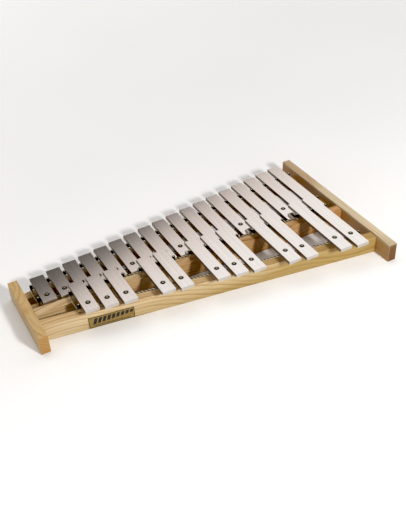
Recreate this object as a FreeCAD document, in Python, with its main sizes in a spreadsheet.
"""A chromatic bar instrument of 2 1/2 octaves (G5 to C8) on a low trapezoid wooden frame.

X runs along the rows of bars, from the high notes (-X) to the low notes (+X). Y runs from the
sharps, on the audience's side (-Y), to the naturals, on the player's side (+Y). Z is up. The
origin is the centre of the outline, on the surface that the frame stands on.

Four node lines run across the bars, each over a rail of its own. From the player's side they are
the naturals' outer and inner lines, then the sharps' inner and outer lines. A line's Y is
    mid + rise * X / half_span
so rise is how far it climbs from the middle of the frame to the low-note end.
"""
import FreeCAD, Part
import Sketcher
import os

# Driving dimensions, in mm. Each becomes a cell of the sheet, under its own name.
SIZES = {
    # bars: flat aluminium of one section, whose length changes evenly along the row
    "bar_pitch": 41,
    "bar_width": 32,
    "bar_thickness": 8,
    "bar_length_mid": 160,
    "bar_length_rise": 74,
    "bar_hole_diameter": 12,
    "bar_chamfer": 0.4,
    "natural_top": 48,
    "sharp_top": 65.5,
    # node lines
    "half_span": 390,
    "natural_outer_mid": 117,
    "natural_outer_rise": 48,
    "natural_inner_mid": 28.5,
    "natural_inner_rise": 5,
    "sharp_inner_mid": -21,
    "sharp_inner_rise": -9,
    "sharp_outer_mid": -108.5,
    "sharp_outer_rise": -56,
    # wooden frame
    "rail_width": 22,
    "natural_rail_height": 25.5,
    "sharp_rail_height": 43.5,
    "rail_chamfer": 0.6,
    "board_thickness": 21.5,
    "board_height": 46.5,
    "board_chamfer": 1,
    "high_board_length": 208,
    "high_board_centre": 5,
    "low_board_length": 446,
    "low_board_centre": 0,
    # dowels that join the rails to the boards
    "dowel_diameter": 8,
    "dowel_length": 30,
    "dowel_in_board": 12.5,
    "dowel_low": 12,
    "dowel_high": 32,
    # posts, the sleeves on them, and the cords under the bars
    "post_diameter": 4,
    "post_sunk": 10,
    "post_above_bar": 1,
    "post_tip_height": 0.5,
    "post_tip_diameter": 3,
    "sleeve_diameter": 7.4,
    "sleeve_above_bar": 0.3,
    "sleeve_lip_height": 0.6,
    "sleeve_lip_diameter": 6.2,
    "cord_diameter": 4,
    "cord_strand": 1.8,
    "cord_gap": 0.3,
    "cord_sag": 3,
    # name plate on the sharps' outer rail
    "plate_width": 102,
    "plate_height": 29,
    "plate_thickness": 1,
    "plate_centre": -245.5,
    "plate_bottom": 2,
    "plate_chamfer": 0.3,
}

NATURAL_NOTES = ("c8", "b7", "a7", "g7", "f7", "e7", "d7", "c7", "b6",
                 "a6", "g6", "f6", "e6", "d6", "c6", "b5", "a5", "g5")
LETTERS_WITH_SHARP = "acdfg"

# Places along a row are counted in steps of one pitch from its middle. A sharp sits half a step
# on the high side of its natural, and C8, the highest note, has no sharp.
ROW_END = (len(NATURAL_NOTES) - 1) / 2
NATURALS = [(note, step - ROW_END) for step, note in enumerate(NATURAL_NOTES)]
SHARPS = [(f"{note[0]}_sharp_{note[1]}", step - 0.5)
          for note, step in NATURALS[1:] if note[0] in LETTERS_WITH_SHARP]
ROWS = {"natural": NATURALS, "sharp": SHARPS}

# On one of a row's lines a post stands in every gap between bars. On the other the posts go
# through the holes in the bars, and one more stands past each end of the row.
GAPS = {
    "natural": [step - 0.5 for _, step in NATURALS] + [ROW_END + 0.5],
    "sharp": [step for _, step in NATURALS[1:]],
}
GAP_LINE = {"natural": "natural_outer", "sharp": "sharp_inner"}
HOLE_LINE = {"natural": "natural_inner", "sharp": "sharp_outer"}
LINES = [line for row in ROWS for line in (GAP_LINE[row], HOLE_LINE[row])]

doc = FreeCAD.newDocument("chromatic_bars")
sheet = doc.addObject("Spreadsheet::Sheet", "Sizes")
pieces = []


# ---------------------------------------------------------------- the sheet and its formulas
def fill_sheet():
    for row, (alias, value) in enumerate(SIZES.items(), start=1):
        sheet.set(f"A{row}", alias)
        sheet.set(f"B{row}", str(value))
        sheet.setAlias(f"B{row}", alias)
    doc.recompute()


def cell(alias):
    return f"Sizes.{alias}"


def at_step(step):
    """X of a place that many steps from the middle of the row."""
    return f"({step} * {cell('bar_pitch')})"


def on_line(line, x):
    """Y of a node line at X."""
    return f"({cell(line + '_mid')} + {cell(line + '_rise')} * {x} / {cell('half_span')})"


def row_of(line):
    return line.split("_")[0]


def bar_top(line):
    return cell(f"{row_of(line)}_top")


def rail_top(line):
    return cell(f"{row_of(line)}_rail_height")


def place(thing, x, y, z):
    for axis, formula in zip("xyz", (x, y, z)):
        thing.setExpression(f"Placement.Base.{axis}", formula)


def post_steps(line):
    row = row_of(line)
    gaps = GAPS[row]
    if line == GAP_LINE[row]:
        return gaps
    return [gaps[0]] + [step for _, step in ROWS[row]] + [gaps[-1]]


# ---------------------------------------------------------------- helpers for solids
def keep(thing, label):
    """Make a document object one of the finished pieces, under its own label."""
    thing.Label = label
    pieces.append(thing)
    return thing


def new_sketch(body, name):
    """A sketch on the body's own XY plane."""
    sketch = body.newObject("Sketcher::SketchObject", f"{body.Name}_{name}")
    plane = next(item for item in body.Origin.OriginFeatures if item.Role == "XY_Plane")
    sketch.AttachmentSupport = (plane, [""])
    sketch.MapMode = "FlatFace"
    return sketch


def constrain(sketch, name, formula, *constraint):
    """Add a dimension to a sketch, under a name, and bind it to a formula."""
    index = sketch.addConstraint(Sketcher.Constraint(*constraint))
    sketch.renameConstraint(index, name)
    sketch.setExpression(f"Constraints.{name}", formula)


def draw_outline(sketch, length_x, length_y, climb=None):
    """A four-sided outline round the origin, whose two long sides climb if climb is given.

    It starts as a 20 by 10 rectangle, and the dimensions then give it its size.
    """
    corners = [FreeCAD.Vector(x, y, 0) for x, y in ((-10, -5), (10, -5), (10, 5), (-10, 5))]
    for index in range(4):
        sketch.addGeometry(Part.LineSegment(corners[index], corners[(index + 1) % 4]))
    for index in range(4):
        sketch.addConstraint(Sketcher.Constraint("Coincident", index, 2, (index + 1) % 4, 1))
    sketch.addConstraint(Sketcher.Constraint("Vertical", 1))
    sketch.addConstraint(Sketcher.Constraint("Vertical", 3))
    sketch.addConstraint(Sketcher.Constraint("Parallel", 0, 2))
    sketch.addConstraint(Sketcher.Constraint("Symmetric", 0, 1, 2, 1, -1, 1))
    constrain(sketch, "length_x", length_x, "DistanceX", 0, 1, 0, 2, 20)
    constrain(sketch, "length_y", length_y, "DistanceY", 1, 1, 1, 2, 10)
    if climb is None:
        sketch.addConstraint(Sketcher.Constraint("Horizontal", 0))
    else:
        constrain(sketch, "climb", climb, "DistanceY", 0, 1, 0, 2, 1)


def slab(name, length_x, length_y, height, chamfer, climb=None):
    """A body of even thickness that stands on its own XY plane, with every edge eased."""
    body = doc.addObject("PartDesign::Body", name)
    sketch = new_sketch(body, "outline")
    draw_outline(sketch, length_x, length_y, climb)
    pad = body.newObject("PartDesign::Pad", f"{name}_pad")
    pad.Profile = sketch
    pad.setExpression("Length", height)
    edges = body.newObject("PartDesign::Chamfer", f"{name}_chamfer")
    edges.Base = (pad, [""])
    edges.UseAllEdges = True
    edges.setExpression("Size", chamfer)
    return body


def round_section(name, diameter, length, top_diameter=None):
    """A cylinder along Z, or a cone where the top has a diameter of its own."""
    if top_diameter is None:
        solid = doc.addObject("Part::Cylinder", name)
        solid.setExpression("Radius", f"{diameter} / 2")
    else:
        solid = doc.addObject("Part::Cone", name)
        solid.setExpression("Radius1", f"{diameter} / 2")
        solid.setExpression("Radius2", f"{top_diameter} / 2")
    solid.setExpression("Height", length)
    return solid


def fuse(name, solids):
    group = doc.addObject("Part::MultiFuse", name)
    group.Shapes = solids
    return group


def cut(name, base, *tools):
    """The base with the room that each tool takes removed from it, so that they fit together."""
    tool = tools[0] if len(tools) == 1 else fuse(f"{name}_tools", list(tools))
    result = doc.addObject("Part::Cut", f"{name}_cut")
    result.Base = base
    result.Tool = tool
    return result


# ---------------------------------------------------------------- bars
def drill_bar(body, hole_y):
    """The hole at one node, right through the bar."""
    sketch = new_sketch(body, "hole_sketch")
    sketch.addGeometry(Part.Circle(FreeCAD.Vector(0, -20, 0), FreeCAD.Vector(0, 0, 1), 6))
    sketch.addConstraint(Sketcher.Constraint("PointOnObject", 0, 3, -2))
    constrain(sketch, "across", cell("bar_hole_diameter"), "Diameter", 0, 12)
    constrain(sketch, "along", hole_y, "DistanceY", 0, 3, -1, 1, 20)
    hole = body.newObject("PartDesign::Pocket", f"{body.Name}_hole")
    hole.Profile = sketch
    hole.Type = "ThroughAll"
    hole.Reversed = True


def make_bar(row, note, step):
    x = at_step(step)
    gap_y = on_line(GAP_LINE[row], x)
    hole_y = on_line(HOLE_LINE[row], x)
    length = f"{cell('bar_length_mid')} + {cell('bar_length_rise')} * {x} / {cell('half_span')}"
    label = f"bar_{note}"
    bar = slab(label, cell("bar_width"), length, cell("bar_thickness"), cell("bar_chamfer"))
    drill_bar(bar, f"({gap_y} - {hole_y}) / 2")
    place(bar, x, f"({gap_y} + {hole_y}) / 2", f"{bar_top(row)} - {cell('bar_thickness')}")
    keep(bar, label)


# ---------------------------------------------------------------- posts and sleeves
def make_posts(line):
    """Pins driven into the line's rail, each with a blunt tip just above the bars."""
    foot = f"{rail_top(line)} - {cell('post_sunk')}"
    shoulder = f"{bar_top(line)} + {cell('post_above_bar')} - {cell('post_tip_height')}"
    solids = []
    for index, step in enumerate(post_steps(line)):
        x = at_step(step)
        y = on_line(line, x)
        stem = round_section(f"{line}_stem_{index}", cell("post_diameter"),
                             f"{shoulder} - ({foot})")
        place(stem, x, y, foot)
        tip = round_section(f"{line}_tip_{index}", cell("post_diameter"),
                            cell("post_tip_height"), cell("post_tip_diameter"))
        place(tip, x, y, shoulder)
        solids += [stem, tip]
    return keep(fuse(f"{line}_post_group", solids), f"{line}_posts")


def make_sleeves(line, posts):
    """A soft sleeve on each post, from the underside of the bars to just above them."""
    foot = f"{bar_top(line)} - {cell('bar_thickness')}"
    lip = f"{bar_top(line)} + {cell('sleeve_above_bar')} - {cell('sleeve_lip_height')}"
    solids = []
    for index, step in enumerate(post_steps(line)):
        x = at_step(step)
        y = on_line(line, x)
        wall = round_section(f"{line}_sleeve_{index}", cell("sleeve_diameter"),
                             f"{lip} - ({foot})")
        place(wall, x, y, foot)
        top = round_section(f"{line}_lip_{index}", cell("sleeve_diameter"),
                            cell("sleeve_lip_height"), cell("sleeve_lip_diameter"))
        place(top, x, y, lip)
        solids += [wall, top]
    sleeves = cut(f"{line}_sleeves", fuse(f"{line}_sleeve_group", solids), posts)
    return keep(sleeves, f"{line}_sleeves")


# ---------------------------------------------------------------- wooden frame
def make_dowels(line):
    """Dowels across the joint at both ends of a rail: one high up where the rail is tall."""
    heights = ["dowel_low", "dowel_high"] if line.startswith("sharp") else ["dowel_low"]
    solids = []
    for side in (-1, 1):
        inner_end = f"{cell('half_span')} + {cell('dowel_in_board')} - {cell('dowel_length')}"
        for height in heights:
            dowel = round_section(f"{line}_{height}_{side + 1}", cell("dowel_diameter"),
                                  cell("dowel_length"))
            dowel.Placement.Rotation = FreeCAD.Rotation(FreeCAD.Vector(0, side, 0), 90)
            y = f"{cell(line + '_mid')} + {side} * {cell(line + '_rise')}"
            place(dowel, f"{side} * ({inner_end})", y, cell(height))
            solids.append(dowel)
    return solids


def make_rail(line, dowels, posts):
    label = f"{line}_rail"
    blank = slab(f"{label}_blank", f"2 * {cell('half_span')}", cell("rail_width"),
                 rail_top(line), cell("rail_chamfer"), f"2 * {cell(line + '_rise')}")
    place(blank, "0", cell(f"{line}_mid"), "0")
    keep(cut(label, blank, dowels, posts), label)


def make_end_board(end, side, dowels):
    """A board across the rails' ends: the short one at the high notes, the long one at the low."""
    label = f"{end}_end_board"
    blank = slab(f"{label}_blank", cell("board_thickness"), cell(f"{end}_board_length"),
                 cell("board_height"), cell("board_chamfer"))
    x = f"{side} * ({cell('half_span')} + {cell('board_thickness')} / 2)"
    place(blank, x, cell(f"{end}_board_centre"), "0")
    keep(cut(label, blank, dowels), label)


def make_name_plate():
    """A thin plate on the sharps' outer rail, turned to lie along its outer face."""
    label = "name_plate"
    plate = slab(label, cell("plate_width"), cell("plate_thickness"), cell("plate_height"),
                 cell("plate_chamfer"))
    slope = f"atan({cell('sharp_outer_rise')} / {cell('half_span')})"
    to_middle = f"({cell('rail_width')} / 2 + {cell('plate_thickness')} / 2 / cos({slope}))"
    x = cell("plate_centre")
    place(plate, x, f"{on_line('sharp_outer', x)} - {to_middle}", cell("plate_bottom"))
    plate.setExpression("Placement.Rotation.Angle", slope)
    keep(plate, label)


# ---------------------------------------------------------------- cords
def size(alias):
    """A size from the sheet, as a plain number."""
    return float(sheet.get(alias))


def cord_point(line, step):
    """The cord's centre where it passes a post."""
    x = step * size("bar_pitch")
    y = size(f"{line}_mid") + size(f"{line}_rise") * x / size("half_span")
    underside = size(f"{row_of(line)}_top") - size("bar_thickness")
    z = underside - size("cord_gap") - size("cord_diameter") / 2
    return FreeCAD.Vector(x, y, z)


def cord_run(line):
    """The twisted pair pulled straight from the first post of a line to the last."""
    start = cord_point(line, post_steps(line)[0])
    end = cord_point(line, post_steps(line)[-1])
    return Part.makeCylinder(size("cord_diameter") / 2, (end - start).Length, start, end - start)


def cord_eyes(line):
    """The two strands part round every post, one on each side of it."""
    radius = size("post_diameter") / 2 + size("cord_strand")
    half_height = FreeCAD.Vector(0, 0, size("cord_strand") / 2)
    return [Part.makeCylinder(radius, size("cord_strand"), cord_point(line, step) - half_height)
            for step in post_steps(line)]


def cord_link(row, end):
    """One strand that goes on from the end post of one line to that of the other, with a sag."""
    start = cord_point(GAP_LINE[row], GAPS[row][end])
    finish = cord_point(HOLE_LINE[row], GAPS[row][end])
    low = (start + finish) / 2 - FreeCAD.Vector(0, 0, size("cord_sag"))
    arc = Part.Arc(start, low, finish)
    direction = arc.tangent(arc.FirstParameter)[0]
    section = Part.Wire(Part.makeCircle(size("cord_strand") / 2, start, direction))
    return Part.Wire(arc.toShape()).makePipeShell([section], True, True)


def make_cord(row, posts):
    """One cord holds up a whole row: along one line, across, and back along the other."""
    lines = (GAP_LINE[row], HOLE_LINE[row])
    solids = []
    for line in lines:
        solids += [cord_run(line)] + cord_eyes(line)
    solids += [cord_link(row, end) for end in (0, -1)]
    whole = solids[0].fuse(solids[1:])
    for line in lines:
        whole = whole.cut(posts[line].Shape)
    label = f"{row}_cord"
    cord = doc.addObject("Part::Feature", label)
    cord.Shape = whole.removeSplitter()
    cord.Placement = FreeCAD.Placement()
    keep(cord, label)


# ---------------------------------------------------------------- building and writing
def build():
    fill_sheet()
    for row, bars in ROWS.items():
        for note, step in bars:
            make_bar(row, note, step)
    dowels = keep(fuse("dowel_group", [dowel for line in LINES for dowel in make_dowels(line)]),
                  "frame_dowels")
    posts = {line: make_posts(line) for line in LINES}
    for line in LINES:
        make_sleeves(line, posts[line])
        make_rail(line, dowels, posts[line])
    make_end_board("high", -1, dowels)
    make_end_board("low", 1, dowels)
    make_name_plate()
    doc.recompute()
    for row in ROWS:
        make_cord(row, posts)
    doc.recompute()


def check():
    """Stop if anything in the document failed, or if a bar's hole cut nothing."""
    for thing in doc.Objects:
        failed = {"Invalid", "Error"} & set(thing.State)
        if failed:
            raise RuntimeError(f"{thing.Label} is {failed}")
    for piece in pieces:
        if piece.Shape.isNull() or not piece.Shape.isValid():
            raise RuntimeError(f"{piece.Label} has no valid shape")
    for row, bars in ROWS.items():
        for note, _ in bars:
            hole = doc.getObject(f"bar_{note}_hole")
            if hole.Shape.Volume >= hole.BaseFeature.Shape.Volume:
                raise RuntimeError(f"the hole in bar_{note} cuts nothing")


def write():
    os.makedirs("parts", exist_ok=True)
    for piece in pieces:
        piece.Shape.exportStep(os.path.join("parts", f"{piece.Label}.step"))
        print(f"{piece.Label}: {len(piece.Shape.Solids)} solids, {piece.Shape.Volume:.0f} mm3")


build()
check()
write()
